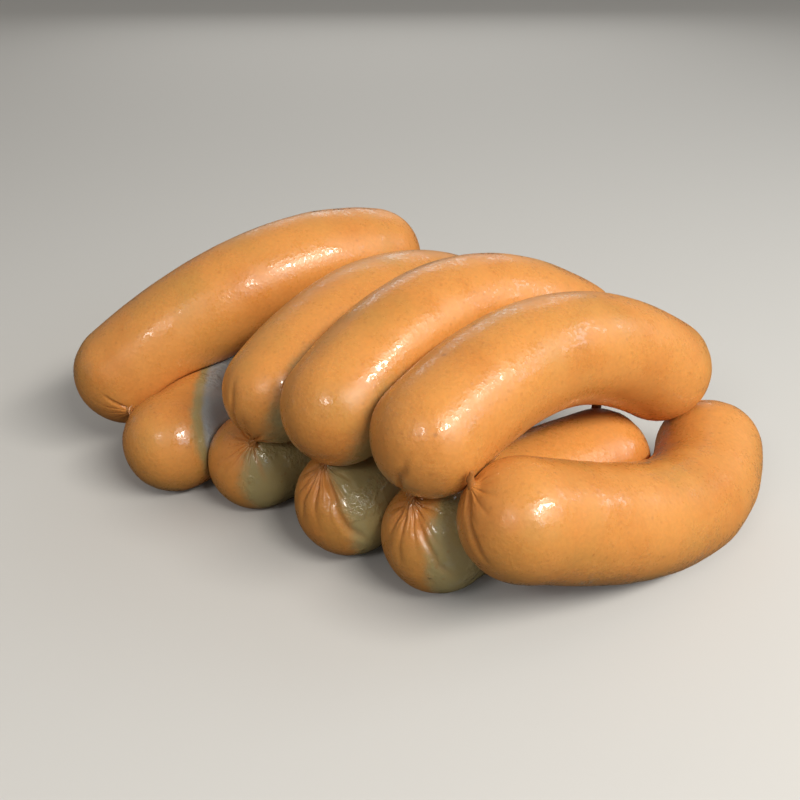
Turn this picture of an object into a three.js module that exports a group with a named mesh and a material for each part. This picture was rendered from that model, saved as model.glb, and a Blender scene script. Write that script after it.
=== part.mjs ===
// A string of nine cooked sausage links, twisted off in one casing and piled in two layers.
// Millimetres, +Z up. The pile rests on z = 0, its front ends face -Y and its row runs along X.
import * as THREE from 'three';

// Mesh fineness
const SIDES = 24;
const BODY_RINGS = 12;
const DOME_RINGS = 6;
const LINE_SAMPLES = 48;

// Soft contact: two pressed links flatten each other and keep this much air
const CONTACT_GAP = 0.4;
const SQUASH_STEPS = 12;

// Casing relief
const PLEATS = 6;
const PLEAT_DEPTH = 1.3;
const PLEAT_ANGLE = 34;
const PLEAT_SPREAD = 20;
const WAVE_DEPTH = 0.22;
const WAVES = 1.6;

// Twisted necks between links, and the two loose tails
const NECK_RADIUS = 2.3;
const NECK_REACH = 1.2;
const NECK_CLEARANCE = 0.35;
const NECK_SIDES = 12;
const NECK_RINGS = 8;
const NECK_STRANDS = 3;
const NECK_TURN = 1.1;
const STRAND_DEPTH = 0.1;
const TAIL_ROOT = 1.6;
const TAIL_LENGTH = 4.5;
const TAIL_RADIUS = 1.7;
const TAIL_SIDES = 10;
const TAIL_RINGS = 6;

// The links in the order of the string. start and finish are the middles of the end domes,
// bow is how far the middle of the link stands off the straight line between them, and
// lean moves that bulge towards the finish.
const LINKS = [
  { start: [74.5, -45, 39], finish: [97.5, 47.5, 19], bow: [11.5, -1.5, -7.5],
    lean: [3.5, -1, -2], radius: 17.5 },
  { start: [77, 43, 46.5], finish: [45.5, -45.5, 55.5], bow: [-4.5, 4.5, 12.5], radius: 17.5 },
  { start: [47, -42.5, 19.5], finish: [68, 23.5, 17], bow: [-3.5, 0, -1], radius: 17.5 },
  { start: [42, 48, 49.5], finish: [13, -45.5, 53.5], bow: [-7, 5, 14.5], radius: 17.5 },
  { start: [14, -43.5, 18.5], finish: [14, 50, 17.5], bow: [-1, -0.5, -1], radius: 17.5 },
  { start: [-7.5, 51.4, 45.5], finish: [-17.5, -40, 46], bow: [-4, 3, 10.5], radius: 17 },
  { start: [-27.5, -41, 16], finish: [-30, 48, 18], bow: [7, -0.5, -0.5], radius: 17 },
  { start: [-44, 48.5, 56], finish: [-90.3, -41, 30], bow: [5, -1.5, 14], radius: 18.7 },
  { start: [-57.4, -50.8, 17.5], finish: [-101.3, 28, 17.5], bow: [12, -6, 0],
    lean: [-2, 4, 0], radius: 17.5 },
];

// The twist after each link: which way it sits off the line between the two domes, and how far
const TWISTS = [
  { way: [-0.1, 1, 0], out: 6.5 },
  { way: [-0.4, -0.9, 0], out: 8.5 },
  { way: [0, 1, 0], out: 7 },
  { way: [-0.4, -0.9, 0], out: 7.5 },
  { way: [0, 1, 0], out: 8 },
  { way: [0.25, -1, 0], out: 9.5 },
  { way: [0, 1, 0], out: 8 },
  { way: [-0.1, -1, 0], out: 7.5 },
];

// Where the two loose tails leave their domes, and where they curl to
const FIRST_TAIL = [-0.64, -0.46, 0.62];
const FIRST_CURL = [0.25, 0.05, 1];
const LAST_TAIL = [-0.15, 0.98, 0.1];
const LAST_CURL = [-0.3, 0.7, -0.7];

const CASING = { color: 0xc98f4e, roughness: 0.38, metalness: 0 };
const TWIST_CASING = { color: 0xb9803f, roughness: 0.5, metalness: 0 };

const vector = (values) => new THREE.Vector3(...values);

// The centre line of a link from its two ends and its bow
function centreLine({ start, finish, bow, lean = [0, 0, 0] }) {
  const a = vector(start);
  const b = vector(finish);
  const early = vector(bow).sub(vector(lean)).multiplyScalar(4 / 3);
  const late = vector(bow).add(vector(lean)).multiplyScalar(4 / 3);
  const third = a.clone().lerp(b, 1 / 3).add(early);
  const twoThirds = a.clone().lerp(b, 2 / 3).add(late);
  return new THREE.CubicBezierCurve3(a, third, twoThirds, b);
}

const lines = LINKS.map(centreLine);
const samples = lines.map((line) => line.getSpacedPoints(LINE_SAMPLES));

// Distance from a point to a plain link with round ends, less than zero inside it
const segment = new THREE.Line3();
const nearest = new THREE.Vector3();
function distanceToLink(point, index) {
  const path = samples[index];
  let least = Infinity;
  for (let k = 0; k < path.length - 1; k += 1) {
    segment.set(path[k], path[k + 1]);
    segment.closestPointToPoint(point, true, nearest);
    least = Math.min(least, nearest.distanceTo(point));
  }
  return least - LINKS[index].radius;
}

// How far a surface point of one link can stand from its own middle before it meets a neighbour
function pressedReach(centre, direction, reach, own) {
  const point = new THREE.Vector3();
  let length = reach;
  for (let step = 0; step < SQUASH_STEPS; step += 1) {
    point.copy(centre).addScaledVector(direction, length);
    const inside = distanceToLink(point, own);
    let room = Infinity;
    LINKS.forEach((link, index) => {
      if (index !== own) room = Math.min(room, distanceToLink(point, index) - inside);
    });
    if (room >= CONTACT_GAP) break;
    length -= (CONTACT_GAP - room) * 0.55;
  }
  const floorReach = direction.z < 0 ? centre.z / -direction.z : Infinity;
  return Math.min(length, floorReach);
}

// The point where two neighbouring links are twisted off, just clear of both domes
function twistPoint(index) {
  const from = vector(LINKS[index].finish);
  const to = vector(LINKS[index + 1].start);
  const share = LINKS[index].radius / (LINKS[index].radius + LINKS[index + 1].radius);
  const across = to.clone().sub(from);
  const out = vector(TWISTS[index].way);
  out.addScaledVector(across, -out.dot(across) / across.lengthSq()).normalize();
  return from.lerp(to, share).addScaledVector(out, TWISTS[index].out);
}

// Where the pleats of each end gather
function tipDirection(index, atStart) {
  const end = vector(atStart ? LINKS[index].start : LINKS[index].finish);
  if (atStart && index === 0) return vector(FIRST_TAIL).normalize();
  if (!atStart && index === LINKS.length - 1) return vector(LAST_TAIL).normalize();
  return twistPoint(atStart ? index - 1 : index).sub(end).normalize();
}

// Pleats run from each tip and fade out along the dome
function pleatDepth(polar, around, phase) {
  const degrees = THREE.MathUtils.radToDeg(polar);
  const fade = Math.exp(-(((degrees - PLEAT_ANGLE) / PLEAT_SPREAD) ** 2));
  const fold = 0.5 + 0.5 * Math.cos(PLEATS * around + phase);
  const weight = 0.65 + 0.35 * Math.cos(2 * around + 1.7 * phase);
  return PLEAT_DEPTH * fade * fold * weight;
}

// A ring of directions and reaches round one centre
function ringPoints(own, centre, axis, side, up, polar, phase, swell) {
  const points = [];
  for (let k = 0; k < SIDES; k += 1) {
    const around = (2 * Math.PI * k) / SIDES;
    const direction = side.clone().multiplyScalar(Math.cos(around));
    direction.addScaledVector(up, Math.sin(around)).multiplyScalar(Math.sin(polar));
    direction.addScaledVector(axis, Math.cos(polar)).normalize();
    const reach = LINKS[own].radius + swell - pleatDepth(polar, around, phase);
    const length = pressedReach(centre, direction, reach, own);
    points.push(centre.clone().addScaledVector(direction, length));
  }
  return points;
}

// Sideways and upward directions square to a link's run
function crossFrame(tangent) {
  const side = new THREE.Vector3().crossVectors(tangent, new THREE.Vector3(0, 0, 1)).normalize();
  const up = new THREE.Vector3().crossVectors(side, tangent).normalize();
  return { side, up };
}

// The dome rings of one end, from next to the body towards the tip, and the tip itself
function domeRings(own, atStart) {
  const line = lines[own];
  const centre = line.getPointAt(atStart ? 0 : 1);
  const tangent = line.getTangentAt(atStart ? 0 : 1);
  const outward = tangent.clone().multiplyScalar(atStart ? -1 : 1);
  const { side, up } = crossFrame(tangent);
  const tip = tipDirection(own, atStart);
  const full = new THREE.Quaternion().setFromUnitVectors(outward, tip);
  const phase = own * 1.9 + (atStart ? 0 : 2.6);
  const rings = [];
  for (let k = 1; k < DOME_RINGS; k += 1) {
    const share = k / DOME_RINGS;
    const turn = new THREE.Quaternion().slerp(full, share);
    const axis = outward.clone().applyQuaternion(turn);
    const polar = (1 - share) * (Math.PI / 2);
    rings.push(ringPoints(own, centre, axis, side.clone().applyQuaternion(turn),
      up.clone().applyQuaternion(turn), polar, phase, 0));
  }
  const reach = pressedReach(centre, tip, LINKS[own].radius, own);
  return { rings, pole: centre.clone().addScaledVector(tip, reach) };
}

// The rings along the body, gently wavy as hand-filled casing is
function bodyRings(own) {
  const rings = [];
  for (let k = 0; k <= BODY_RINGS; k += 1) {
    const share = k / BODY_RINGS;
    const tangent = lines[own].getTangentAt(share);
    const { side, up } = crossFrame(tangent);
    const wave = Math.sin(2 * Math.PI * (WAVES * share + 0.37 * own));
    const swell = WAVE_DEPTH * wave * Math.sin(Math.PI * share);
    rings.push(ringPoints(own, lines[own].getPointAt(share), tangent, side, up, Math.PI / 2, 0, swell));
  }
  return rings;
}

// A closed skin over a row of rings with a point at each end
function skin(firstPole, rings, lastPole) {
  const sides = rings[0].length;
  const points = [firstPole, ...rings.flat(), lastPole];
  const faces = [];
  const at = (ring, k) => 1 + ring * sides + (k % sides);
  for (let k = 0; k < sides; k += 1) {
    faces.push(0, at(0, k), at(0, k + 1));
    for (let ring = 0; ring < rings.length - 1; ring += 1) {
      faces.push(at(ring, k), at(ring + 1, k), at(ring, k + 1));
      faces.push(at(ring, k + 1), at(ring + 1, k), at(ring + 1, k + 1));
    }
    faces.push(points.length - 1, at(rings.length - 1, k + 1), at(rings.length - 1, k));
  }
  const geometry = new THREE.BufferGeometry();
  geometry.setAttribute('position', new THREE.Float32BufferAttribute(points.flatMap((p) => p.toArray()), 3));
  geometry.setIndex(faces);
  geometry.computeVertexNormals();
  return geometry;
}

function linkGeometry(own) {
  const first = domeRings(own, true);
  const last = domeRings(own, false);
  return skin(first.pole, [...first.rings.reverse(), ...bodyRings(own), ...last.rings], last.pole);
}

// A neck of twisted casing that fills the notch between two domes
function twistGeometry(index) {
  const middle = twistPoint(index);
  const arms = [vector(LINKS[index].finish), vector(LINKS[index + 1].start)].map((end, k) => {
    const toward = end.sub(middle);
    const length = toward.length() - LINKS[index + k].radius + NECK_REACH;
    return { toward: toward.normalize(), length };
  });
  const axis = arms[1].toward.clone().sub(arms[0].toward).normalize();
  const { side, up } = crossFrame(axis.z > 0.99 ? new THREE.Vector3(0, 0.1, 1).normalize() : axis);
  const armReach = (arm, direction) => {
    const along = Math.max(direction.dot(arm.toward), 0);
    const across = Math.sqrt(1 - along * along);
    return 1 / Math.hypot(along / arm.length, across / NECK_RADIUS);
  };
  const reachAt = (direction, around, share) => {
    const strand = 1 + STRAND_DEPTH * Math.cos(NECK_STRANDS * (around - NECK_TURN * Math.PI * share));
    let length = Math.max(...arms.map((arm) => armReach(arm, direction))) * strand;
    const point = new THREE.Vector3();
    for (let step = 0; step < SQUASH_STEPS; step += 1) {
      point.copy(middle).addScaledVector(direction, length);
      const room = Math.min(distanceToLink(point, index), distanceToLink(point, index + 1));
      if (room >= NECK_CLEARANCE) break;
      length -= NECK_CLEARANCE - room;
    }
    return length;
  };
  const rings = [];
  for (let ring = 1; ring < NECK_RINGS; ring += 1) {
    const share = ring / NECK_RINGS;
    const polar = Math.PI * (1 - share);
    rings.push(Array.from({ length: NECK_SIDES }, (_, k) => {
      const around = (2 * Math.PI * k) / NECK_SIDES;
      const direction = axis.clone().multiplyScalar(Math.cos(polar));
      direction.addScaledVector(side, Math.sin(polar) * Math.cos(around));
      direction.addScaledVector(up, Math.sin(polar) * Math.sin(around)).normalize();
      return middle.clone().addScaledVector(direction, reachAt(direction, around, share));
    }));
  }
  const firstPole = middle.clone().addScaledVector(axis, -reachAt(axis.clone().negate(), 0, 0));
  const lastPole = middle.clone().addScaledVector(axis, reachAt(axis, 0, 1));
  return skin(firstPole, rings, lastPole);
}

// A loose end of casing that tapers and curls over
function tailGeometry(own, atStart) {
  const tip = tipDirection(own, atStart);
  const curl = vector(atStart ? FIRST_CURL : LAST_CURL).normalize();
  const end = vector(atStart ? LINKS[own].start : LINKS[own].finish);
  const root = end.addScaledVector(tip, LINKS[own].radius + NECK_CLEARANCE);
  const knee = root.clone().addScaledVector(tip, TAIL_ROOT);
  const far = knee.clone().addScaledVector(curl, TAIL_LENGTH);
  const path = new THREE.QuadraticBezierCurve3(root, knee, far);
  const rings = [];
  for (let ring = 0; ring < TAIL_RINGS; ring += 1) {
    const share = ring / TAIL_RINGS;
    const { side, up } = crossFrame(path.getTangent(share));
    const radius = TAIL_RADIUS * (1 - 0.5 * share);
    rings.push(Array.from({ length: TAIL_SIDES }, (_, k) => {
      const around = (2 * Math.PI * k) / TAIL_SIDES;
      const strand = 1 + STRAND_DEPTH * Math.cos(2 * (around - NECK_TURN * Math.PI * share));
      const point = path.getPoint(share).addScaledVector(side, radius * strand * Math.cos(around));
      return point.addScaledVector(up, radius * strand * Math.sin(around));
    }));
  }
  return skin(root, rings, far);
}

const sausages = new THREE.Group();

function add(name, geometry, finish) {
  const mesh = new THREE.Mesh(geometry, new THREE.MeshStandardMaterial(finish));
  mesh.name = name;
  sausages.add(mesh);
}

LINKS.forEach((link, index) => add(`link_${index + 1}`, linkGeometry(index), CASING));
LINKS.slice(1).forEach((link, index) => add(`twist_${index + 1}`, twistGeometry(index), TWIST_CASING));
add('tail_first', tailGeometry(0, true), TWIST_CASING);
add('tail_last', tailGeometry(LINKS.length - 1, false), TWIST_CASING);

export default sausages;
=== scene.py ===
# %% [markdown]
# A string of cooked sausage links, folded to and fro into a pile of two layers. On the real thing one
# long casing is filled, then twisted every hand's breadth, so each link ends in a pleated dome with a
# tight neck between it and the next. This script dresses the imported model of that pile: it loads the
# plain solids, makes a fine mesh for every link and neck in the same places, gives them a wet smoked
# casing, and sets up the light and the camera.

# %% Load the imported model
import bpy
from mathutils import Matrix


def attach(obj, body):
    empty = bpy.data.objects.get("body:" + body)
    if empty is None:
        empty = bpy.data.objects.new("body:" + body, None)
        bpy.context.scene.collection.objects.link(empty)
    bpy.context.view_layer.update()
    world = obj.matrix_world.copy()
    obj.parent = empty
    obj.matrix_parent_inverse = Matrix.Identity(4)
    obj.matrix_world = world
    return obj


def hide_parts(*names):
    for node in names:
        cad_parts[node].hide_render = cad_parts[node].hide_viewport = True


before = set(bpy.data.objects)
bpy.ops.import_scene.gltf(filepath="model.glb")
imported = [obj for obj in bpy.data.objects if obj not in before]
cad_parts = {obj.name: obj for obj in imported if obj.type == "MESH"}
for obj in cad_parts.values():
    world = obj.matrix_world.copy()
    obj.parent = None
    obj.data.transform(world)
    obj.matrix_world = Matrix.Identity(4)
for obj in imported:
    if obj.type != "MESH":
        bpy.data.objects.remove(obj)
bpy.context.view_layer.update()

import math
import bpy
import numpy as np
from mathutils import Vector

# %% [markdown]
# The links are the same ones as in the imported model, so their sizes are repeated here in millimetres.
# Each link is given by the middles of its two end domes, by the bow that its middle takes off the
# straight line between them, and by its radius; a lean pushes the bow over to one end. So few sizes for a
# bent link keep the pile easy to change.

# %% The string, link by link
MM = 0.001
LINKS = [
    dict(start=(74.5, -45, 39), finish=(97.5, 47.5, 19), bow=(11.5, -1.5, -7.5), lean=(3.5, -1, -2),
         radius=17.5),
    dict(start=(77, 43, 46.5), finish=(45.5, -45.5, 55.5), bow=(-4.5, 4.5, 12.5), radius=17.5),
    dict(start=(47, -42.5, 19.5), finish=(68, 23.5, 17), bow=(-3.5, 0, -1), radius=17.5),
    dict(start=(42, 48, 49.5), finish=(13, -45.5, 53.5), bow=(-7, 5, 14.5), radius=17.5),
    dict(start=(14, -43.5, 18.5), finish=(14, 50, 17.5), bow=(-1, -0.5, -1), radius=17.5),
    dict(start=(-7.5, 51.4, 45.5), finish=(-17.5, -40, 46), bow=(-4, 3, 10.5), radius=17),
    dict(start=(-27.5, -41, 16), finish=(-30, 48, 18), bow=(7, -0.5, -0.5), radius=17),
    dict(start=(-44, 48.5, 56), finish=(-90.3, -41, 30), bow=(5, -1.5, 14), radius=18.7),
    dict(start=(-57.4, -50.8, 17.5), finish=(-101.3, 28, 17.5), bow=(12, -6, 0), lean=(-2, 4, 0),
         radius=17.5),
]


def at_mm(values):
    return Vector(values) * MM


def handles(link):
    """The four control points of a link's centre line."""
    a, b = at_mm(link["start"]), at_mm(link["finish"])
    bow, lean = at_mm(link["bow"]), at_mm(link.get("lean", (0, 0, 0)))
    return a, a.lerp(b, 1 / 3) + (bow - lean) * 4 / 3, a.lerp(b, 2 / 3) + (bow + lean) * 4 / 3, b


def centre_line(link, count=97, fine_steps=600):
    """Evenly spaced points along a link's centre line."""
    controls = np.array([list(p) for p in handles(link)])
    t = np.linspace(0, 1, fine_steps)[:, None]
    curve = (1 - t) ** 3 * controls[0] + 3 * t * (1 - t) ** 2 * controls[1]
    curve = curve + 3 * t ** 2 * (1 - t) * controls[2] + t ** 3 * controls[3]
    run = np.concatenate([[0], np.cumsum(np.linalg.norm(np.diff(curve, axis=0), axis=1))])
    even = np.linspace(0, run[-1], count)
    return np.stack([np.interp(even, run, curve[:, k]) for k in range(3)], axis=1)


LINES = [centre_line(link) for link in LINKS]
for link, line in zip(LINKS, LINES):
    length = np.linalg.norm(np.diff(line, axis=0), axis=1).sum() + 2 * link["radius"] * MM
    print(f"{length * 1000:.0f} mm long, {2 * link['radius']:.0f} mm thick")

# %% [markdown]
# Two links that follow each other in the string share a neck, where the casing was twisted. The neck sits
# in the notch between the two domes, a little outside the line that joins their middles. Every dome's
# pleats gather at its neck, so the direction from the dome's middle to the neck is where its tip goes.

# %% Where the casing is twisted
TWISTS = [
    dict(way=(-0.1, 1, 0), out=6.5), dict(way=(-0.4, -0.9, 0), out=8.5), dict(way=(0, 1, 0), out=7),
    dict(way=(-0.4, -0.9, 0), out=7.5), dict(way=(0, 1, 0), out=8), dict(way=(0.25, -1, 0), out=9.5),
    dict(way=(0, 1, 0), out=8), dict(way=(-0.1, -1, 0), out=7.5),
]
FIRST_TAIL, FIRST_CURL = (-0.64, -0.46, 0.62), (0.25, 0.05, 1)
LAST_TAIL, LAST_CURL = (-0.15, 0.98, 0.1), (-0.3, 0.7, -0.7)


def neck_point(index):
    """The twist between link number index and the next one, counted from nought."""
    a, b = at_mm(LINKS[index]["finish"]), at_mm(LINKS[index + 1]["start"])
    share = LINKS[index]["radius"] / (LINKS[index]["radius"] + LINKS[index + 1]["radius"])
    across = b - a
    out = Vector(TWISTS[index]["way"])
    out = (out - across * out.dot(across) / across.length_squared).normalized()
    return a.lerp(b, share) + out * TWISTS[index]["out"] * MM


NECKS = [neck_point(index) for index in range(len(LINKS) - 1)]


def tips(index):
    """The directions of a link's two tips, from the middles of its end domes."""
    a, b = at_mm(LINKS[index]["start"]), at_mm(LINKS[index]["finish"])
    first = Vector(FIRST_TAIL) if index == 0 else NECKS[index - 1] - a
    last = Vector(LAST_TAIL) if index == len(LINKS) - 1 else NECKS[index] - b
    return first.normalized(), last.normalized()


print("necks:", [tuple(round(v * 1000) for v in neck) for neck in NECKS])

# %% [markdown]
# A link's shape follows a rule: a round tube along a bent line, closed by two domes whose pleats run to
# the tip. It could be sculpted by hand, but nine of them in one style are better made by one Geometry
# Nodes tree with named sizes. First come small helpers that add nodes and return their results, so that a
# formula reads like one.

# %% Helpers for building node trees


def add_node(tree, kind, settings=None, **inputs):
    """Adds one node, sets its options and links or sets its inputs by name."""
    node = tree.nodes.new(kind)
    for key, value in (settings or {}).items():
        setattr(node, key, value)
    for key, value in inputs.items():
        name = key.replace("_", " ")
        socket = next(s for s in node.inputs if s.name.lower() == name.lower() and s.enabled)
        plug(tree, value, socket)
    return node


def plug(tree, value, socket):
    """Links a socket to a result, or sets it to a value."""
    if isinstance(value, bpy.types.NodeSocket):
        tree.links.new(value, socket)
    else:
        socket.default_value = value


print("helpers that add nodes ready")

# %% Helpers for arithmetic and groups


def number(tree, operation, *values, clamp=False):
    """One step of arithmetic."""
    node = tree.nodes.new("ShaderNodeMath")
    node.operation, node.use_clamp = operation, clamp
    for value, socket in zip(values, node.inputs):
        plug(tree, value, socket)
    return node.outputs[0]


def arrow(tree, operation, *values):
    """One step of vector arithmetic."""
    node = tree.nodes.new("ShaderNodeVectorMath")
    node.operation = operation
    sockets = [node.inputs[0], node.inputs["Scale"]] if operation == "SCALE" else node.inputs
    for value, socket in zip(values, sockets):
        plug(tree, value, socket)
    return node.outputs["Value" if operation in ("DOT_PRODUCT", "LENGTH") else "Vector"]


def blend(tree, share, a, b, kind="FLOAT"):
    """A mix of two numbers or of two directions."""
    node = add_node(tree, "ShaderNodeMix", {"data_type": kind}, Factor=share, A=a, B=b)
    return node.outputs[1 if kind == "VECTOR" else 0]


def position_of(tree):
    """The place of each point."""
    return tree.nodes.new("GeometryNodeInputPosition").outputs[0]


def ramp(tree, value, low, high, to_low=0.0, to_high=1.0):
    """A soft step of a value from one level to another."""
    node = tree.nodes.new("ShaderNodeMapRange")
    node.interpolation_type = "SMOOTHSTEP"
    for k, v in enumerate((value, low, high, to_low, to_high)):
        plug(tree, v, node.inputs[k])
    return node.outputs[0]


def new_group(name, kind, inputs, outputs):
    """A node group with named inputs and outputs, and its two end nodes."""
    tree = bpy.data.node_groups.new(name, kind)
    for label, socket_type, default in inputs:
        socket = tree.interface.new_socket(label, in_out="INPUT", socket_type=socket_type)
        if default is not None:
            socket.default_value = default
    for label, socket_type in outputs:
        tree.interface.new_socket(label, in_out="OUTPUT", socket_type=socket_type)
    return tree, tree.nodes.new("NodeGroupInput").outputs, tree.nodes.new("NodeGroupOutput").inputs


print("helpers for arithmetic and groups ready")

# %% [markdown]
# The tree starts from a flat grid. Its long side becomes the run of the link, with a fifth at each end
# for a dome, and its short side wraps round. For each point it reads the middle of the link from the
# centre line, works out a direction away from it, and stands the skin off by the radius. On the domes the
# axis swings over to the tip, so the pole lands where the neck is. The middle of each point is stored,
# because the next step presses the links together.

# %% The link tree: run and domes
FLOAT, VECTOR, WHOLE = "NodeSocketFloat", "NodeSocketVector", "NodeSocketInt"
link_tree, given, result = new_group("Sausage link", "GeometryNodeTree", [
    ("Start", VECTOR, None), ("Start Handle", VECTOR, None), ("Finish Handle", VECTOR, None),
    ("Finish", VECTOR, None), ("Start Tip", VECTOR, None), ("Finish Tip", VECTOR, None),
    ("Radius", FLOAT, 0.0175), ("Rings", WHOLE, 190), ("Sides", WHOLE, 113), ("Dome Share", FLOAT, 0.2),
    ("Unevenness", FLOAT, 0.0004), ("Ripple", FLOAT, 0.0001), ("Seed", FLOAT, 0.0),
    ("Casing", "NodeSocketMaterial", None),
] + [(f"{end} {label}", FLOAT, default) for end in ("Start", "Finish") for label, default in (
    ("Folds", 9.0), ("Fold Depth", 0.0014), ("Fold Length", 0.014), ("Crest", 0.0012), ("Crease Angle", 0.0),
    ("Crease Depth", 0.0))], [("Geometry", "NodeSocketGeometry")])

spine = add_node(link_tree, "GeometryNodeCurvePrimitiveBezierSegment", {"mode": "POSITION"},
                 Resolution=128, Start=given["Start"], Start_Handle=given["Start Handle"],
                 End_Handle=given["Finish Handle"], End=given["Finish"])
grid = add_node(link_tree, "GeometryNodeMeshGrid", Size_X=1.0, Size_Y=1.0, Vertices_X=given["Rings"],
                Vertices_Y=given["Sides"])
flat = add_node(link_tree, "ShaderNodeSeparateXYZ", Vector=position_of(link_tree))
run = number(link_tree, "ADD", flat.outputs["X"], 0.5)
around = number(link_tree, "MULTIPLY", flat.outputs["Y"], 2 * math.pi)

dome = given["Dome Share"]
first_dome = number(link_tree, "SUBTRACT", 1.0, number(link_tree, "DIVIDE", run, dome), clamp=True)
left_to_run = number(link_tree, "SUBTRACT", 1.0, run)
last_dome = number(link_tree, "SUBTRACT", 1.0, number(link_tree, "DIVIDE", left_to_run, dome), clamp=True)
body_share = number(link_tree, "SUBTRACT", 1.0, number(link_tree, "MULTIPLY", dome, 2.0))
along = number(link_tree, "DIVIDE", number(link_tree, "SUBTRACT", run, dome), body_share, clamp=True)
tipward = number(link_tree, "ADD", first_dome, last_dome)
is_last = number(link_tree, "GREATER_THAN", run, 0.5)
print("run and domes:", len(link_tree.nodes), "nodes")

# %% The link tree: the way each point faces
reader = add_node(link_tree, "GeometryNodeSampleCurve", {"mode": "FACTOR"}, Curves=spine.outputs[0],
                  Factor=along)
middle, tangent = reader.outputs["Position"], reader.outputs["Tangent"]
side = arrow(link_tree, "NORMALIZE", arrow(link_tree, "CROSS_PRODUCT", tangent, (0, 0, 1)))
top = arrow(link_tree, "NORMALIZE", arrow(link_tree, "CROSS_PRODUCT", side, tangent))
outward = arrow(link_tree, "SCALE", tangent, number(link_tree, "MULTIPLY_ADD", is_last, 2.0, -1.0))
tip = blend(link_tree, is_last, given["Start Tip"], given["Finish Tip"], "VECTOR")
hinge = arrow(link_tree, "NORMALIZE", arrow(link_tree, "CROSS_PRODUCT", outward, tip))
full_swing = number(link_tree, "ARCCOSINE", arrow(link_tree, "DOT_PRODUCT", outward, tip))
swing = number(link_tree, "MULTIPLY", full_swing, tipward)


def swung(value):
    """A direction turned with the dome towards its tip."""
    turn = add_node(link_tree, "ShaderNodeVectorRotate", {"rotation_type": "AXIS_ANGLE"}, Vector=value,
                    Axis=hinge, Angle=swing)
    return turn.outputs[0]


sideways = arrow(link_tree, "SCALE", swung(side), number(link_tree, "COSINE", around))
upward = arrow(link_tree, "SCALE", swung(top), number(link_tree, "SINE", around))
rise = number(link_tree, "MULTIPLY", tipward, math.pi / 2)
ring_part = arrow(link_tree, "SCALE", arrow(link_tree, "ADD", sideways, upward),
                  number(link_tree, "COSINE", rise))
end_part = arrow(link_tree, "SCALE", swung(outward), number(link_tree, "SINE", rise))
direction = arrow(link_tree, "NORMALIZE", arrow(link_tree, "ADD", ring_part, end_part))
print("link tree has", len(link_tree.nodes), "nodes so far")

# %% [markdown]
# Casing that is twisted shut falls into folds. Close to the neck there are many small ones, further out
# they join into a few broad puffs with sharp creases between them, and past the dome they are gone. A
# wave that is pointed at its low side gives such creases, and a slow noise bends them and varies their
# depth, so no two ends look alike. Some ends also have one long crease that runs out further than the
# rest, and right at the neck the skin rises to a crest.

# %% The link tree: helpers for folds
seed = given["Seed"]
seed_shift = add_node(link_tree, "ShaderNodeCombineXYZ", X=seed, Y=seed, Z=seed).outputs[0]
CREASE_SHARPNESS = 0.55


def slow_noise(scale, detail, source=None, shift=0.0):
    """Smooth random values between -1 and 1 over the link's directions or places."""
    place = arrow(link_tree, "ADD", direction if source is None else source, seed_shift)
    place = arrow(link_tree, "ADD", place, (shift, 0, -shift))
    node = add_node(link_tree, "ShaderNodeTexNoise", Vector=place, Scale=scale, Detail=detail)
    return number(link_tree, "MULTIPLY_ADD", node.outputs[0], 2.0, -1.0)


def fold_wave(count, bend):
    """Low and pointed in the creases, high and round on the puffs: 1 in a crease and 0 on a puff."""
    half_waves = number(link_tree, "MULTIPLY", count, 0.5)
    angle = number(link_tree, "MULTIPLY", number(link_tree, "ADD", around, bend), half_waves)
    puff = number(link_tree, "ABSOLUTE", number(link_tree, "SINE", angle))
    return number(link_tree, "SUBTRACT", 1.0, number(link_tree, "POWER", puff, CREASE_SHARPNESS))


def at_end(label):
    """The value of a size at the nearer end of the link."""
    return blend(link_tree, is_last, given["Start " + label], given["Finish " + label])


def times(*values):
    """Several values multiplied."""
    total = values[0]
    for value in values[1:]:
        total = number(link_tree, "MULTIPLY", total, value)
    return total


folded_share = number(link_tree, "DIVIDE", at_end("Fold Length"), times(given["Radius"], math.pi / 2))


def back_from_tip(share):
    """How far towards the tip a point lies that is this share of the fold length away from it."""
    return number(link_tree, "SUBTRACT", 1.0, times(folded_share, share))


print("fold helpers ready;", len(link_tree.nodes), "nodes")

# %% The link tree: folds and creases
BROAD_BEND, FINE_BEND = 0.42, 0.3
USUAL_STRENGTH, STRENGTH_SPREAD = 0.8, 0.9
LENGTH_SPREAD = 0.16
FINE_FOLD_SHARE = 0.4
CREASE_HALF_WIDTH = 1.9 * MM

bend = times(slow_noise(1.6, 1.0), BROAD_BEND)
broad = fold_wave(at_end("Folds"), bend)
fine_count = number(link_tree, "MULTIPLY_ADD", at_end("Folds"), 2.0, 1.0)
fine = fold_wave(fine_count, times(slow_noise(3.0, 1.0, shift=5.0), FINE_BEND))
strength = number(link_tree, "MULTIPLY_ADD", slow_noise(1.9, 0.0, shift=9.0), STRENGTH_SPREAD,
                  USUAL_STRENGTH, clamp=True)
wobbly = number(link_tree, "MULTIPLY_ADD", slow_noise(2.4, 0.0, shift=21.0), LENGTH_SPREAD, tipward)
near_tip = ramp(link_tree, wobbly, back_from_tip(1.0), back_from_tip(0.3))
closing = ramp(link_tree, tipward, 1.0, 0.9, 0.15, 1.0)
fine_zone = ramp(link_tree, tipward, back_from_tip(0.6), back_from_tip(0.2))
fine_part = times(fine, FINE_FOLD_SHARE, fine_zone, closing)
fold = number(link_tree, "ADD", times(broad, strength, near_tip, closing), fine_part)

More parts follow.
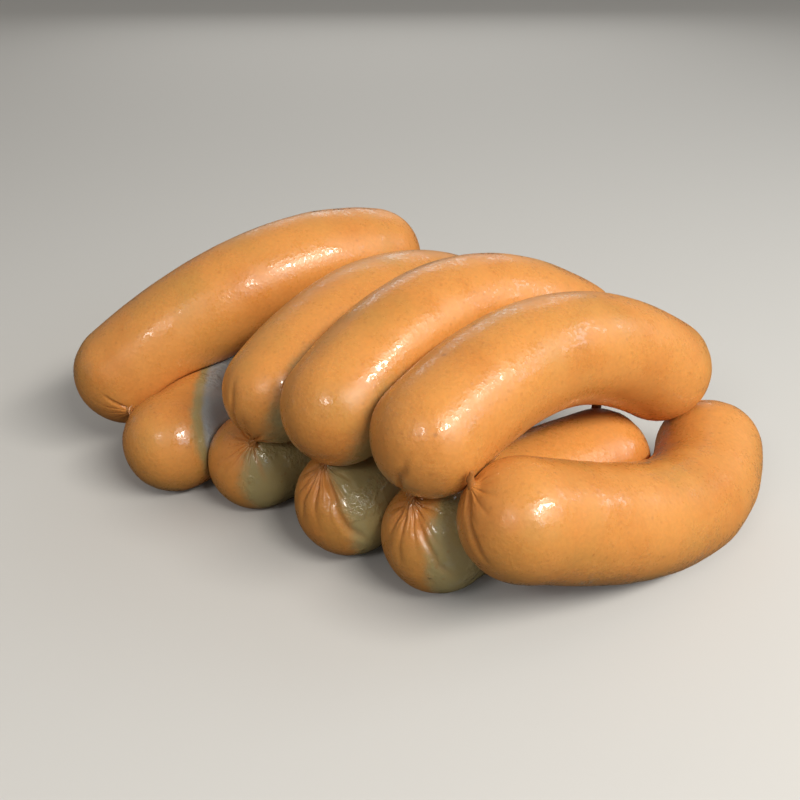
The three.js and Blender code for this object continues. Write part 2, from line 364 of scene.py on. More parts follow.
bent_angle = number(link_tree, "MULTIPLY_ADD", bend, 0.5, around)
off_crease = number(link_tree, "SUBTRACT", bent_angle, at_end("Crease Angle"))
off_crease = number(link_tree, "ABSOLUTE", number(link_tree, "WRAP", off_crease, math.pi, -math.pi))
crease_gap = times(off_crease, given["Radius"], number(link_tree, "COSINE", rise))
crease = times(ramp(link_tree, crease_gap, 0.0, CREASE_HALF_WIDTH, 1.0, 0.0), closing,
               ramp(link_tree, tipward, back_from_tip(1.5), back_from_tip(0.8)))
print("folds and creases added;", len(link_tree.nodes), "nodes")

# %% The link tree: crest and unevenness
RING_DEPTH = 2 * MM

crest = times(ramp(link_tree, tipward, 0.86, 1.0), at_end("Crest"))
lump = times(slow_noise(34.0, 1.5, source=middle, shift=2.0), given["Unevenness"])
surface_lump = times(slow_noise(1.1, 2.0, shift=13.0), given["Unevenness"])
ring_place = arrow(link_tree, "ADD", middle, arrow(link_tree, "SCALE", direction, RING_DEPTH))
ripple = times(slow_noise(130.0, 0.5, source=ring_place, shift=31.0), given["Ripple"])

reach = number(link_tree, "ADD", given["Radius"], crest)
for hollow in (times(fold, at_end("Fold Depth")), times(crease, at_end("Crease Depth"))):
    reach = number(link_tree, "SUBTRACT", reach, hollow)
for swelling in (lump, surface_lump, ripple):
    reach = number(link_tree, "ADD", reach, swelling)
skin_place = arrow(link_tree, "ADD", middle, arrow(link_tree, "SCALE", direction, reach))
print("skin placed;", len(link_tree.nodes), "nodes")

# %% The link tree: skin, stored values and finish
MERGE_DISTANCE = 0.002 * MM


def finish_tree(tree, geometry, material, output):
    """Welds a tree's mesh, smooths it, gives it its finish and hands it out."""
    last = add_node(tree, "GeometryNodeMergeByDistance", Geometry=geometry, Distance=MERGE_DISTANCE)
    last = add_node(tree, "GeometryNodeSetShadeSmooth", Geometry=last.outputs[0])
    last = add_node(tree, "GeometryNodeRealizeInstances", Geometry=last.outputs[0])
    last = add_node(tree, "GeometryNodeSetMaterial", Geometry=last.outputs[0], Material=material)
    tree.links.new(last.outputs[0], output)


stage = add_node(link_tree, "GeometryNodeStoreNamedAttribute",
                 {"data_type": "FLOAT_VECTOR", "domain": "POINT"}, Geometry=grid.outputs[0], Name="middle",
                 Value=middle)
for label, value in (("fold", number(link_tree, "ADD", fold, crease)), ("tipward", tipward)):
    stage = add_node(link_tree, "GeometryNodeStoreNamedAttribute", {"data_type": "FLOAT", "domain": "POINT"},
                     Geometry=stage.outputs[0], Name=label, Value=value)
stage = add_node(link_tree, "GeometryNodeSetPosition", Geometry=stage.outputs[0], Position=skin_place)
finish_tree(link_tree, stage.outputs[0], given["Casing"], result["Geometry"])
print("link tree finished:", len(link_tree.nodes), "nodes")

# %% [markdown]
# Effects that more than one finish shares are shader node groups. Smoke colours a casing in soft clouds,
# a little redder here and a little more olive there. Ground pepper and bits of rind show through it as
# fine specks and a few larger dots. A wet film breaks the shine into small sparkles. Each group gives
# colours, masks or heights only, and the shader itself stays in the material.

# %% Helpers for colours
COLOUR = "NodeSocketColor"


def object_place(tree):
    """The place of each point in the pile's own frame."""
    return tree.nodes.new("ShaderNodeTexCoord").outputs["Object"]


def mixed(tree, share, a, b, kind="MIX"):
    """Two colours mixed."""
    node = tree.nodes.new("ShaderNodeMix")
    node.data_type, node.blend_type = "RGBA", kind
    plug(tree, share, node.inputs[0])
    plug(tree, a, node.inputs[6])
    plug(tree, b, node.inputs[7])
    return node.outputs[2]


def noise(tree, place, scale, detail=3.0, rough=0.5):
    """Smooth random values between 0 and 1."""
    node = add_node(tree, "ShaderNodeTexNoise", Vector=place, Scale=scale, Detail=detail, Roughness=rough)
    return node.outputs[0]


print("colour helpers ready")

# %% Smoke clouds
RED_CLOUDS, OLIVE_CLOUDS = 0.65, 0.6

smoke_clouds, given, result = new_group("Smoke clouds", "ShaderNodeTree", [
    ("Golden", COLOUR, (0.6, 0.27, 0.08, 1)), ("Red Brown", COLOUR, (0.5, 0.2, 0.05, 1)),
    ("Olive", COLOUR, (0.5, 0.3, 0.09, 1)), ("Cloud Size", FLOAT, 40.0)], [("Color", COLOUR)])
place = object_place(smoke_clouds)
reddish = ramp(smoke_clouds, noise(smoke_clouds, place, given["Cloud Size"]), 0.42, 0.72, 0.0, RED_CLOUDS)
olive_place = arrow(smoke_clouds, "ADD", place, (3.1, 1.7, 0.4))
olive_noise = noise(smoke_clouds, olive_place, given["Cloud Size"])
olive = ramp(smoke_clouds, olive_noise, 0.45, 0.75, 0.0, OLIVE_CLOUDS)
grain = noise(smoke_clouds, place, 900.0, 2.0)
colour = mixed(smoke_clouds, reddish, given["Golden"], given["Red Brown"])
colour = mixed(smoke_clouds, olive, colour, given["Olive"])
shade = ramp(smoke_clouds, grain, 0.3, 0.7, 0.95, 1.04)
smoke_clouds.links.new(mixed(smoke_clouds, 1.0, colour, shade, "MULTIPLY"), result["Color"])
print("group:", smoke_clouds.name)

# %% Casing specks
casing_specks, given, result = new_group("Casing specks", "ShaderNodeTree", [
    ("Speck Size", FLOAT, 420.0), ("Dot Size", FLOAT, 95.0)], [("Specks", FLOAT), ("Dots", FLOAT)])
place = object_place(casing_specks)


def dots(size, radius, chance):
    """Small round marks: one in every few cells of a random pattern."""
    cells = add_node(casing_specks, "ShaderNodeTexVoronoi", {"feature": "F1"}, Vector=place, Scale=size)
    pick = add_node(casing_specks, "ShaderNodeSeparateColor", Color=cells.outputs["Color"]).outputs[0]
    chosen = number(casing_specks, "LESS_THAN", pick, chance)
    spot = ramp(casing_specks, cells.outputs["Distance"], radius, radius * 0.35)
    return number(casing_specks, "MULTIPLY", chosen, spot)


casing_specks.links.new(dots(given["Speck Size"], radius=0.32, chance=0.3), result["Specks"])
casing_specks.links.new(dots(given["Dot Size"], radius=0.1, chance=0.16), result["Dots"])
print("group:", casing_specks.name)

# %% Wet film
CLUSTER_SCALE, CLUSTER_SHARE = 0.22, 0.5

wet_film, given, result = new_group("Wet film", "ShaderNodeTree", [
    ("Patch Size", FLOAT, 70.0), ("Bead Size", FLOAT, 750.0)], [
        ("Wetness", FLOAT), ("Sparkle", FLOAT), ("Height", FLOAT)])
place = object_place(wet_film)
patches = ramp(wet_film, noise(wet_film, place, given["Patch Size"], 4.0, 0.6), 0.36, 0.58)
beads = noise(wet_film, place, given["Bead Size"], 2.0, 0.6)
cluster_size = number(wet_film, "MULTIPLY", given["Bead Size"], CLUSTER_SCALE)
clusters = noise(wet_film, place, cluster_size, 1.0)
bead_share = number(wet_film, "MULTIPLY_ADD", clusters, CLUSTER_SHARE, beads)
wet_film.links.new(patches, result["Wetness"])
sparkles = number(wet_film, "MULTIPLY", ramp(wet_film, bead_share, 0.79, 0.87), patches)
wet_film.links.new(sparkles, result["Sparkle"])
wet_film.links.new(number(wet_film, "MULTIPLY", beads, patches), result["Height"])
print("group:", wet_film.name)

# %% [markdown]
# The casing itself is a thin, slightly translucent skin over pale meat. A Principled shader with a little
# subsurface light gives its warm depth, and a thin coat gives the film of fat and water. Where two links
# hung against each other in the smoke, the casing stayed bare: those touch marks are olive grey with a
# soft and ragged edge, and on the strongest one a painted blue-grey reflection is laid over it. The
# same kind of mark carries painted shade on two upper links, and the folds are browner with painted
# shade. The marks and the folds come from values stored on each mesh, so they stay in place on it.

# %% Colour of the casing
# Painted light: a blue-grey reflection over the strongest touch mark, and shade in the folds.
PAINTED_BLUE_GREY_REFLECTION = (0.34, 0.38, 0.4, 1)
SPECK_TINT, SPECK_SHARE = (0.3, 0.1, 0.025, 1), 0.22
DOT_TINT, DOT_SHARE = (0.2, 0.07, 0.025, 1), 0.45
EDGE_RAGGEDNESS, FOLD_SHADE = 0.8, 0.3


def group_node(tree, group, **values):
    """Places a shared effect in a material."""
    node = tree.nodes.new("ShaderNodeGroup")
    node.node_tree = group
    for key, value in values.items():
        plug(tree, value, node.inputs[key.replace("_", " ")])
    return node


def stored(tree, name):
    """A value that is stored on the mesh."""
    node = tree.nodes.new("ShaderNodeAttribute")
    node.attribute_name = name
    return node.outputs["Fac"]


def touch_and_shade_masks(tree, place):
    """How far a point is in a touch or painted shade mark, ragged, and how strong its painted reflection is.
    """
    cloud = noise(tree, place, 160.0, 4.0, 0.65)
    ragged = number(tree, "MULTIPLY_ADD", cloud, EDGE_RAGGEDNESS, -EDGE_RAGGEDNESS / 2)
    touch = number(tree, "ADD", stored(tree, "touch"), ragged)
    return ramp(tree, touch, 0.15, 0.85), ramp(tree, touch, 1.0, 1.6)


def casing_colour(tree, tones, touched_or_shaded, painted_reflection):
    """Smoke clouds browner at the necks, painted fold shade, bare or painted-shade marks, specks and dots.
    """
    golden, red_brown, olive_tone, bare = tones
    clouds = group_node(tree, smoke_clouds, Golden=golden, Red_Brown=red_brown, Olive=olive_tone)
    specks = group_node(tree, casing_specks)
    near_neck = ramp(tree, stored(tree, "tipward"), 0.55, 1.0, 0.0, 0.6)
    # Painted shade: the folds and creases are mixed towards red-brown by how deep they are.
    painted_fold_shade = number(tree, "MULTIPLY", stored(tree, "fold"), FOLD_SHADE, clamp=True)
    colour = mixed(tree, near_neck, clouds.outputs["Color"], red_brown)
    # Bare skin on the touch marks and painted shade on the marks of links 2 and 4, with a painted blue-grey
    # reflection over the strongest mark.
    colour = mixed(tree, touched_or_shaded, colour, mixed(tree, painted_reflection, bare, PAINTED_BLUE_GREY_REFLECTION))
    colour = mixed(tree, painted_fold_shade, colour, red_brown)
    speckled = number(tree, "MULTIPLY", specks.outputs["Specks"], SPECK_SHARE)
    dotted = number(tree, "MULTIPLY", specks.outputs["Dots"], DOT_SHARE)
    return mixed(tree, dotted, mixed(tree, speckled, colour, SPECK_TINT), DOT_TINT)


print("bare edge varies by", EDGE_RAGGEDNESS / 2, "of the mark's depth")

# %% [markdown]
# The film of fat and water lies on the skin in patches. Where a bead stands, the shine is sharp and the
# coat is full; on a touch mark or a painted shade mark the skin is satin; elsewhere it is dull. The same
# beads, the skin's own dimples and a fine grain make the bump, so the streaks of shine break up as they
# do on a wet sausage. Its heights are in millimetres.

# %% Gloss and relief of the casing
BEAD_ROUGHNESS, MARK_GLOSS, WET_SHARE = 0.15, 0.55, 0.75
COAT_ON_BEADS, COAT_ON_MARKS, COAT_WHERE_WET = 0.8, 0.12, 0.04
FILM_HEIGHT, DROP_HEIGHT, DIMPLE_HEIGHT, GRAIN_HEIGHT = 0.13, 0.45, 0.06, 0.02


def casing_gloss(tree, film, touched_or_shaded, roughness):
    """The roughness of the skin and the weight of the coat."""
    wet = number(tree, "MAXIMUM", film.outputs["Wetness"], touched_or_shaded)
    even_roughness = ramp(tree, wet, 0.0, 1.0, roughness, roughness * WET_SHARE)
    on_mark = number(tree, "MULTIPLY", touched_or_shaded, MARK_GLOSS)
    glossy = number(tree, "MAXIMUM", film.outputs["Sparkle"], on_mark)
    thin_coat = number(tree, "MULTIPLY", wet, COAT_WHERE_WET)
    even_coat = number(tree, "MULTIPLY_ADD", touched_or_shaded, COAT_ON_MARKS, thin_coat)
    coat = number(tree, "MULTIPLY_ADD", film.outputs["Sparkle"], COAT_ON_BEADS, even_coat, clamp=True)
    return ramp(tree, glossy, 0.0, 1.0, even_roughness, BEAD_ROUGHNESS), coat


def casing_relief(tree, place, film, touched_or_shaded):
    """The height of the grain, the dimples and the beads, which are larger in clusters on a mark."""
    grain_part = number(tree, "MULTIPLY", noise(tree, place, 1100.0, 2.0), GRAIN_HEIGHT)
    dimples = number(tree, "MULTIPLY_ADD", noise(tree, place, 260.0, 3.0), DIMPLE_HEIGHT, grain_part)
    clusters_here = ramp(tree, noise(tree, place, 120.0, 2.0), 0.5, 0.6)
    drops = number(tree, "MULTIPLY", touched_or_shaded, clusters_here)
    film_height = number(tree, "MULTIPLY_ADD", drops, DROP_HEIGHT, FILM_HEIGHT)
    return number(tree, "MULTIPLY_ADD", film.outputs["Height"], film_height, dimples)


print("beads are", FILM_HEIGHT, "mm high, and up to", FILM_HEIGHT + DROP_HEIGHT, "mm on a mark")

# %% The casing materials
GOLDEN, RED_BROWN, OLIVE_TONE = (0.66, 0.28, 0.066, 1), (0.56, 0.2, 0.038, 1), (0.5, 0.26, 0.062, 1)
BARE_OR_SHADED_SKIN = (0.36, 0.29, 0.13, 1)
TWIST_GOLDEN, TWIST_BROWN, TWIST_OLIVE = (0.42, 0.17, 0.04, 1), (0.26, 0.085, 0.02, 1), (0.36, 0.17, 0.05, 1)
CASING_ROUGHNESS, TWIST_ROUGHNESS, COAT_ROUGHNESS = 0.42, 0.5, 0.09
GLOW_SHARE, GLOW_REACH, GLOW_TINT = 0.12, 5 * MM, (1.0, 0.45, 0.2)


def casing_material(name, tones, roughness):
    """A Principled skin with a little light below its surface and a thin coat."""
    material = bpy.data.materials.new(name)
    material.use_nodes = True
    tree = material.node_tree
    shader = tree.nodes["Principled BSDF"]
    film = group_node(tree, wet_film)
    place = object_place(tree)
    touched_or_shaded, painted_reflection = touch_and_shade_masks(tree, place)
    shine, coat = casing_gloss(tree, film, touched_or_shaded, roughness)
    relief = casing_relief(tree, place, film, touched_or_shaded)
    bump = add_node(tree, "ShaderNodeBump", Strength=1.0, Distance=1 * MM, Height=relief)
    tree.links.new(casing_colour(tree, tones, touched_or_shaded, painted_reflection), shader.inputs["Base Color"])
    tree.links.new(shine, shader.inputs["Roughness"])
    tree.links.new(coat, shader.inputs["Coat Weight"])
    tree.links.new(bump.outputs[0], shader.inputs["Normal"])
    shader.inputs["Subsurface Weight"].default_value = GLOW_SHARE
    shader.inputs["Subsurface Radius"].default_value = GLOW_TINT
    shader.inputs["Subsurface Scale"].default_value = GLOW_REACH
    shader.inputs["Coat Roughness"].default_value = COAT_ROUGHNESS
    return material


casing_tones = (GOLDEN, RED_BROWN, OLIVE_TONE, BARE_OR_SHADED_SKIN)
twist_tones = (TWIST_GOLDEN, TWIST_BROWN, TWIST_OLIVE, BARE_OR_SHADED_SKIN)
casing = casing_material("smoked casing", casing_tones, CASING_ROUGHNESS)
twisted = casing_material("twisted casing", twist_tones, TWIST_ROUGHNESS)
print("finishes:", casing.name, "and", twisted.name)

# %% [markdown]
# Sausages are soft: where two of them press together, both flatten, and the lowest ones flatten on the
# plate. The tree leaves each link round, so this step looks at every point of the skin, measures how deep
# it is in its own link and in the nearest neighbour, and pulls it back towards its middle until it lies
# on its own side of the contact.

# %% Press the links together
CONTACT_GAP = 0.3 * MM
NEAR_ENOUGH = 4
PRESS_STEPS, PRESS_SHARE = 14, 0.55
LEAST_SLOPE, LEAST_MOVE = 0.01, 0.001 * MM


def depth_in(points, index):
    """How far points stand outside a round link, in metres; less than nought is inside."""
    line = LINES[index]
    squared = (points ** 2).sum(1)[:, None] - 2 * points @ line.T + (line ** 2).sum(1)[None, :]
    return np.sqrt(np.maximum(squared.min(1), 0)) - LINKS[index]["radius"] * MM


def neighbours(own):
    """The links that lie close enough to a link to press on it."""
    reach = LINKS[own]["radius"] * MM
    found = []
    for other, line in enumerate(LINES):
        apart = np.linalg.norm(LINES[own][:, None] - line[None], axis=2).min()
        if other != own and apart < reach + (LINKS[other]["radius"] + NEAR_ENOUGH) * MM:
            found.append(other)
    return found


def press(mesh, own):
    """Flattens a link's mesh against its neighbours and the floor, and returns how many points moved."""
    count = len(mesh.vertices)
    places, middles = np.empty(count * 3), np.empty(count * 3)
    mesh.vertices.foreach_get("co", places)
    mesh.attributes["middle"].data.foreach_get("vector", middles)
    places, middles = places.reshape(-1, 3), middles.reshape(-1, 3)
    arms = places - middles
    lengths = np.linalg.norm(arms, axis=1)
    directions = arms / lengths[:, None]
    before = lengths.copy()
    for step in range(PRESS_STEPS):
        points = middles + directions * lengths[:, None]
        room = np.full(count, np.inf)
        for other in neighbours(own):
            room = np.minimum(room, depth_in(points, other))
        room -= depth_in(points, own)
        lengths -= np.maximum(CONTACT_GAP - room, 0) * PRESS_SHARE
    slope = -directions[:, 2]
    to_floor = middles[:, 2] / np.maximum(slope, LEAST_SLOPE)
    lengths = np.minimum(lengths, np.where(slope > LEAST_SLOPE, to_floor, np.inf))
    points = middles + directions * lengths[:, None]
    mesh.vertices.foreach_set("co", points.astype(np.float32).ravel())
    mesh.update()
    return int((before - lengths > LEAST_MOVE).sum())


print("neighbours:", {index + 1: [other + 1 for other in neighbours(index)] for index in range(len(LINKS))})

# %% [markdown]
# The touch marks are placed as they are in the photo: on the right half of the four lower front domes
# and low on the right side of one upper link. The same kind of mark carries painted shade low on the
# right side of a second upper link and faintly under the tip of a third. Each is the part of a link past
# a plane, given in millimetres by a point on it, the way it faces and how soft its edge is, and it ends
# some way back along the link. What is stored is a smooth value from 0 to 1, and the material gives it a
# ragged edge and, on the strongest mark, a painted blue-grey reflection.

# %% Touch marks
TOUCH_MARKS_AND_SHADE = {
    # Marks 2 and 4 are painted shade: under the tip of link 2 and low on the right of link 4.
    2: dict(planes=[((46, -61, 53), (-0.55, -0.1, -0.83))], soft=10, strength=0.42, back=-20),
    3: dict(planes=[((51.4, -54.5, 28), (0.98, 0.17, 0.11))], soft=7, strength=1.0, back=-22),
    4: dict(planes=[((25.7, -49, 55.5), (0.87, 0.26, -0.41))], soft=9, strength=0.75, back=-28),
    5: dict(planes=[((17.1, -54.3, 29.2), (0.52, 0.84, 0.17)), ((9.5, 0, 0), (1, 0, 0))],
            soft=7, strength=1.0, back=0),
    6: dict(planes=[((-8.2, -50.6, 48.9), (0.93, 0.22, -0.29))], soft=8, strength=0.8, back=-24),
    7: dict(planes=[((-20.7, -53.9, 19.6), (1, -0.04, 0.07))], soft=8, strength=1.0, back=0),
    # Link 9's strength past 1 brings in the painted blue-grey reflection.
    9: dict(planes=[((-46.5, -47.2, 27.5), (0.79, 0.58, 0.21))], soft=7, strength=1.8, back=0),
}
BACK_FADE = 15


def store_touch_and_shade(mesh, place_in_string):
    """Stores how far each point is inside its link's touch mark or painted shade mark."""
    places = np.empty(len(mesh.vertices) * 3)
    mesh.vertices.foreach_get("co", places)
    places = places.reshape(-1, 3) / MM
    values = np.zeros(len(places))
    mark = TOUCH_MARKS_AND_SHADE.get(place_in_string)
    if mark:
        past = np.min([(places - np.array(point)) @ np.array(Vector(way).normalized())
                       for point, way in mark["planes"]], axis=0)
        values = mark["strength"] * np.clip(0.5 + past / mark["soft"], 0, 1)
        values *= np.clip((mark["back"] - places[:, 1]) / BACK_FADE, 0, 1)
    mesh.attributes.new("touch", "FLOAT", "POINT").data.foreach_set("value", values.astype(np.float32))


print("marked links:", sorted(TOUCH_MARKS_AND_SHADE))

# %% [markdown]
# Every end is gathered in its own way. The front ends are set from the photo: how many folds there are,
# how deep they are and how far they reach, and where the one long crease runs. The back ends can't be
# seen, so they share one ordinary set of sizes. The crest is as high as the room between the dome and its
# neck allows.

# %% How each end is gathered
BACK_END = dict(folds=9, depth=1.4, length=15)
ENDS = [
    (dict(folds=11, depth=0.35, length=13, crease=-50, crease_depth=0.8), BACK_END),
    (BACK_END, dict(folds=8, depth=0.8, length=12, crease=112, crease_depth=1.5)),
    (dict(folds=8, depth=1.0, length=14, crease=-20, crease_depth=0.9), BACK_END),
    (BACK_END, dict(folds=8, depth=0.35, length=9)),
    (dict(folds=9, depth=1.2, length=15, crease=-24, crease_depth=1.2), BACK_END),
    (BACK_END, dict(folds=10, depth=1.3, length=15, crease=76, crease_depth=0.9)),
    (dict(folds=10, depth=0.8, length=12), BACK_END),
    (BACK_END, dict(folds=8, depth=0.35, length=9, crease=134, crease_depth=0.6)),
    (dict(folds=9, depth=0.5, length=9), BACK_END),
]
CREST_LEAST, CREST_MOST = 0.8, 2.2
ROOM_AT_A_TAIL, NECK_CLEARANCE = 1.2, 0.5


def end_inputs(name, end, centre, radius, neck):
    """The tree's inputs for one end of a link."""
    room = ROOM_AT_A_TAIL
    if neck is not None:
        room = (neck - at_mm(centre)).length / MM - radius - NECK_CLEARANCE
    crest_height = min(max(room, CREST_LEAST), CREST_MOST)
    return {f"{name} Folds": float(end["folds"]), f"{name} Fold Depth": end["depth"] * MM,
            f"{name} Fold Length": end["length"] * MM, f"{name} Crest": crest_height * MM,
            f"{name} Crease Angle": math.radians(end.get("crease", 0)),
            f"{name} Crease Depth": end.get("crease_depth", 0) * MM}


print("folds at the two ends:", [(first["folds"], last["folds"]) for first, last in ENDS])

# %% Helpers that run a tree and keep its mesh


def set_inputs(modifier, tree, values):
    """Sets a modifier's inputs by their socket identifiers."""
    sockets = [item for item in tree.interface.items_tree if item.in_out == "INPUT"]
    identifiers = {item.name: item.identifier for item in sockets}
    for name, value in values.items():
        modifier[identifiers[name]] = value


def grown(name, tree, values):
    """Runs a Geometry Nodes tree and keeps its result as a plain mesh object."""
    holder = bpy.data.objects.new(name + "_recipe", bpy.data.meshes.new(name + "_recipe"))
    bpy.context.scene.collection.objects.link(holder)
    modifier = holder.modifiers.new("recipe", "NODES")
    modifier.node_group = tree
    set_inputs(modifier, tree, values)
    bpy.context.view_layer.update()
    evaluated = holder.evaluated_get(bpy.context.evaluated_depsgraph_get())
    mesh = bpy.data.meshes.new_from_object(evaluated)
    holder.modifiers.remove(modifier)
    bpy.data.objects.remove(holder)
    mesh.name = name
    piece = bpy.data.objects.new(name, mesh)
    bpy.context.scene.collection.objects.link(piece)
    return piece


def mesh_volume(mesh):
    """Signed volume in cubic centimetres; more than nought when the faces point outwards."""
    mesh.calc_loop_triangles()
    corners = np.array([[mesh.vertices[i].co[:] for i in t.vertices] for t in mesh.loop_triangles])
    boxes = np.einsum("ij,ij->i", corners[:, 0], np.cross(corners[:, 1], corners[:, 2]))
    return float(boxes.sum() / 6 * 1e6)


def finish_piece(piece, node):
    """Ties a piece to its body and hides the solid that it replaces."""
    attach(piece, "root")
    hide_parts(node)


print("piece helpers ready")

# %% Make the nine links
RINGS, SIDES, DOME_SHARE = 190, 113, 0.2
UNEVENNESS, RIPPLE, RIPPLES = 0.4 * MM, 0.1 * MM, {1: 0.24 * MM}
SEED_STEP = 3.7

for index, link in enumerate(LINKS):
    a, first_handle, second_handle, b = handles(link)
    first_tip, last_tip = tips(index)
    necks = [None] + NECKS + [None]
    inputs = {
        "Start": a, "Start Handle": first_handle, "Finish Handle": second_handle, "Finish": b,
        "Start Tip": first_tip, "Finish Tip": last_tip, "Radius": link["radius"] * MM, "Rings": RINGS,
        "Sides": SIDES, "Dome Share": DOME_SHARE, "Unevenness": UNEVENNESS,
        "Ripple": RIPPLES.get(index + 1, RIPPLE), "Seed": SEED_STEP * index, "Casing": casing}
    inputs.update(end_inputs("Start", ENDS[index][0], link["start"], link["radius"], necks[index]))
    inputs.update(end_inputs("Finish", ENDS[index][1], link["finish"], link["radius"], necks[index + 1]))
    piece = grown(f"sausage_{index + 1}", link_tree, inputs)
    moved = press(piece.data, index)
    store_touch_and_shade(piece.data, index + 1)
    finish_piece(piece, f"link_{index + 1}")
    volume = round(mesh_volume(piece.data))
    print(piece.name, len(piece.data.vertices), "points,", moved, "pressed,", volume, "cm3")

# %% [markdown]
# A neck is a few millimetres of empty casing wound like a rope. It is a small star-shaped profile carried
# along a short bent line, with its tilt turned as it goes and its width wide at the domes and narrow
# between them. The two loose tails of the string are the same thing with one end tapered away, so one
# tree makes all ten.

# %% The twisted casing tree: path, width and turns
TWIST_STEPS, WAIST_SHAPE = 40, 1.6

twist_tree, given, result = new_group("Twisted casing", "GeometryNodeTree", [
    ("From", VECTOR, None), ("Through", VECTOR, None), ("To", VECTOR, None),
    ("Width At Root", FLOAT, 0.003), ("Width At Waist", FLOAT, 0.002), ("Width At End", FLOAT, 0.003),
    ("Turns", FLOAT, 0.8), ("Strands", FLOAT, 4.0), ("Strand Depth", FLOAT, 0.16),
    ("Casing", "NodeSocketMaterial", None)], [("Geometry", "NodeSocketGeometry")])
path = add_node(twist_tree, "GeometryNodeCurveQuadraticBezier", Resolution=TWIST_STEPS,
                Start=given["From"], Middle=given["Through"], End=given["To"])
share = twist_tree.nodes.new("GeometryNodeSplineParameter").outputs["Factor"]
off_middle = number(twist_tree, "ABSOLUTE", number(twist_tree, "MULTIPLY_ADD", share, 2.0, -1.0))
edge_share = number(twist_tree, "POWER", off_middle, WAIST_SHAPE)
past_half = number(twist_tree, "GREATER_THAN", share, 0.5)
end_width = blend(twist_tree, past_half, given["Width At Root"], given["Width At End"])
width = blend(twist_tree, edge_share, given["Width At Waist"], end_width)
turned = number(twist_tree, "MULTIPLY", share, given["Turns"])
tilted = add_node(twist_tree, "GeometryNodeSetCurveTilt", Curve=path.outputs[0],
                  Tilt=number(twist_tree, "MULTIPLY", turned, 2 * math.pi))
print("path with", len(twist_tree.nodes), "nodes")

# %% The twisted casing tree: profile and skin
circle = add_node(twist_tree, "GeometryNodeCurvePrimitiveCircle", {"mode": "RADIUS"},
                  Resolution=TWIST_STEPS, Radius=1.0)
rim = add_node(twist_tree, "ShaderNodeSeparateXYZ", Vector=position_of(twist_tree))
rim_angle = number(twist_tree, "ARCTAN2", rim.outputs["Y"], rim.outputs["X"])
half_strands = number(twist_tree, "MULTIPLY", given["Strands"], 0.5)
strand = number(twist_tree, "SINE", number(twist_tree, "MULTIPLY", rim_angle, half_strands))
strand = number(twist_tree, "ABSOLUTE", strand)
least = number(twist_tree, "SUBTRACT", 1.0, given["Strand Depth"])
swell = number(twist_tree, "MULTIPLY_ADD", strand, given["Strand Depth"], least)
star_place = arrow(twist_tree, "SCALE", position_of(twist_tree), swell)
star = add_node(twist_tree, "GeometryNodeSetPosition", Geometry=circle.outputs[0], Position=star_place)
rope = add_node(twist_tree, "GeometryNodeCurveToMesh", Curve=tilted.outputs[0],
                Profile_Curve=star.outputs[0], Scale=width, Fill_Caps=True)
finish_tree(twist_tree, rope.outputs[0], given["Casing"], result["Geometry"])
print("twist tree:", len(twist_tree.nodes), "nodes")

# %% Make the necks
ROOT_DEPTH = 1.5 * MM
NECK_SIZES = {"Width At Root": 2.6 * MM, "Width At Waist": 1.3 * MM, "Width At End": 2.6 * MM,
              "Turns": 0.9, "Strands": 5.0, "Strand Depth": 0.3}


def tip_place(end, radius, toward, depth):
    """A point on a dome's tip, sunk a little into the dome."""
    return at_mm(end) + (toward - at_mm(end)).normalized() * (radius * MM - depth)


for index, neck in enumerate(NECKS):
    one, other = LINKS[index], LINKS[index + 1]
    a = tip_place(one["finish"], one["radius"], neck, ROOT_DEPTH)
    b = tip_place(other["start"], other["radius"], neck, ROOT_DEPTH)
    piece = grown(f"neck_{index + 1}", twist_tree, {
        "From": a, "Through": neck * 2 - (a + b) / 2, "To": b, "Casing": twisted, **NECK_SIZES})
    finish_piece(piece, f"twist_{index + 1}")
    print(piece.name, f"{(b - a).length * 1000:.1f} mm across,", round(mesh_volume(piece.data), 3), "cm3")

# %% Make the two loose tails
TAIL_ROOT, TAIL_LENGTH = 1.6 * MM, 4.5 * MM
TAIL_SIZES = {"Width At Root": 2.0 * MM, "Width At Waist": 1.2 * MM, "Width At End": 0.6 * MM,
              "Turns": 0.6, "Strands": 3.0, "Strand Depth": 0.22}

for node, end, radius, tip_way, curl in (
        ("tail_first", LINKS[0]["start"], LINKS[0]["radius"], FIRST_TAIL, FIRST_CURL),
        ("tail_last", LINKS[-1]["finish"], LINKS[-1]["radius"], LAST_TAIL, LAST_CURL)):
    out = Vector(tip_way).normalized()
    root = at_mm(end) + out * (radius * MM - ROOT_DEPTH)
    knee = root + out * (ROOT_DEPTH + TAIL_ROOT)
    piece = grown(node.replace("tail", "loose_tail"), twist_tree, {
        "From": root, "Through": knee, "To": knee + Vector(curl).normalized() * TAIL_LENGTH,
        "Casing": twisted, **TAIL_SIZES})
    finish_piece(piece, node)
    print(piece.name, round(mesh_volume(piece.data), 3), "cm3")

# %% [markdown]
# The camera stands where the photographer stood: in front and to the right of the pile, looking down at
# about thirty degrees. Its place came from fitting the links' outlines, so it is given in the pile's own
# frame. The light is a long window high on the right, which lays a narrow streak of shine along each
# link, and a cool panel lower on that side, which shines on the front domes. A second cool window behind
# it, a small lamp in front and a pale wall behind do the rest. The floor looks pale but throws back
# little light, so the undersides stay dark, as they do on a dark bed. Colours are shown as they are,
# without a film curve.

# %% The camera
CAMERA_PLACE = (161.5, -226.5, 196)
CAMERA_TURN, CAMERA_DOWN = 35, 31
FOCAL_PIXELS, FRAME_PIXELS, SENSOR = 926, 800, 36

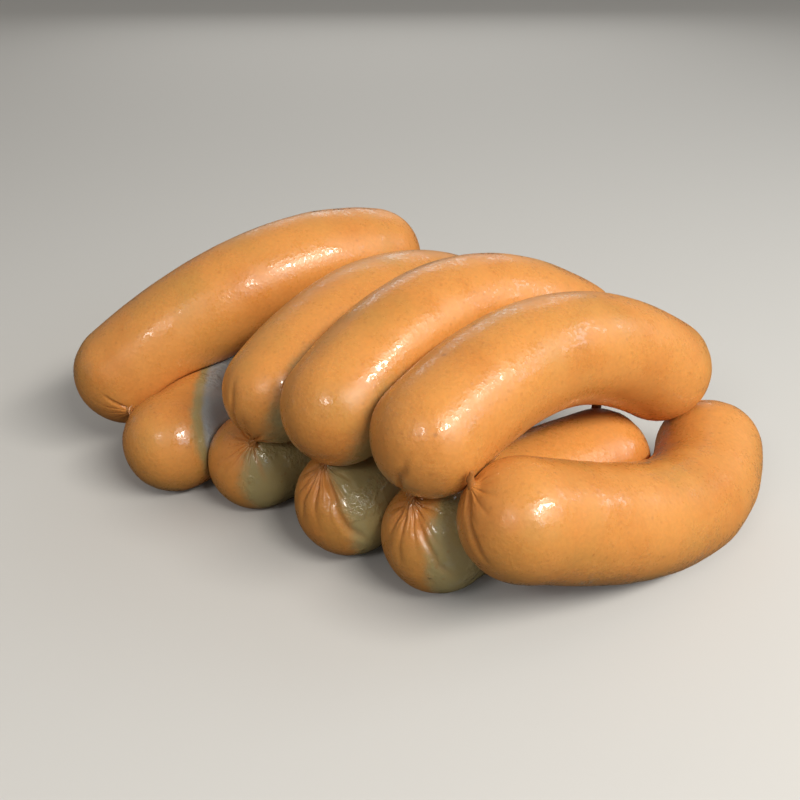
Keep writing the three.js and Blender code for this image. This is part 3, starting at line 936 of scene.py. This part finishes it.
camera_data = bpy.data.cameras.new("camera")
camera_data.sensor_width = SENSOR
camera_data.lens = FOCAL_PIXELS / FRAME_PIXELS * SENSOR
camera_data.clip_start = 0.01
camera = bpy.data.objects.new("camera", camera_data)
camera.location = at_mm(CAMERA_PLACE)
camera.rotation_euler = (math.radians(90 - CAMERA_DOWN), 0, math.radians(CAMERA_TURN))
bpy.context.scene.collection.objects.link(camera)
bpy.context.scene.camera = camera
print("camera lens:", round(camera_data.lens, 2), "mm")

# %% The light
MIDDLE_OF_PILE = Vector((0, 0, 0.04))
COOL = (0.84, 0.93, 1.0)
SURROUND_TINT, SURROUND_STRENGTH = (1.0, 0.95, 0.88, 1), 0.24


def soft_light(name, place, size, watts, tint):
    """A rectangular lamp that faces the pile."""
    data = bpy.data.lights.new(name, "AREA")
    data.shape = "RECTANGLE"
    data.size, data.size_y = size
    data.energy, data.color = watts, tint
    lamp = bpy.data.objects.new(name, data)
    lamp.location = place
    lamp.rotation_euler = (MIDDLE_OF_PILE - Vector(place)).to_track_quat("-Z", "Y").to_euler()
    bpy.context.scene.collection.objects.link(lamp)


soft_light("window", (0.67, -0.12, 0.71), size=(0.66, 0.14), watts=8.6, tint=(1.0, 0.94, 0.85))
soft_light("side panel", (0.95, -0.1, 0.55), size=(1.0, 0.26), watts=2.0, tint=COOL)
soft_light("far window", (0.75, 0.62, 0.62), size=(0.5, 0.35), watts=1.5, tint=COOL)
soft_light("front lamp", (0.14, -0.92, 0.76), size=(0.3, 0.22), watts=2.2, tint=(1.0, 0.96, 0.92))
soft_light("back wall", (-0.55, 0.75, 0.4), size=(0.8, 0.5), watts=1.2, tint=(1.0, 0.97, 0.92))

world = bpy.data.worlds.new("surround")
world.use_nodes = True
world.node_tree.nodes["Background"].inputs["Color"].default_value = SURROUND_TINT
world.node_tree.nodes["Background"].inputs["Strength"].default_value = SURROUND_STRENGTH
bpy.context.scene.world = world
bpy.context.scene.view_settings.view_transform = "Standard"
print("lamps:", len(bpy.data.lights))

# %% The floor
FLOOR_SEEN, FLOOR_BOUNCE = (0.6, 0.6, 0.59, 1), (0.1, 0.09, 0.07, 1)
FLOOR_ROUGHNESS, HALF_FLOOR = 0.8, 3

floor_mesh = bpy.data.meshes.new("floor")
corners = [(x * HALF_FLOOR, y * HALF_FLOOR, 0) for x, y in ((-1, -1), (1, -1), (1, 1), (-1, 1))]
floor_mesh.from_pydata(corners, [], [(0, 1, 2, 3)])
floor = bpy.data.objects.new("floor", floor_mesh)
bpy.context.scene.collection.objects.link(floor)
floor_finish = bpy.data.materials.new("pale floor")
floor_finish.use_nodes = True
floor_tree = floor_finish.node_tree
seen = floor_tree.nodes.new("ShaderNodeLightPath").outputs["Is Camera Ray"]
floor_shader = floor_tree.nodes["Principled BSDF"]
floor_colour = mixed(floor_tree, seen, FLOOR_BOUNCE, FLOOR_SEEN)
floor_tree.links.new(floor_colour, floor_shader.inputs["Base Color"])
floor_shader.inputs["Roughness"].default_value = FLOOR_ROUGHNESS
floor_mesh.materials.append(floor_finish)
print("floor:", 2 * HALF_FLOOR, "m across")
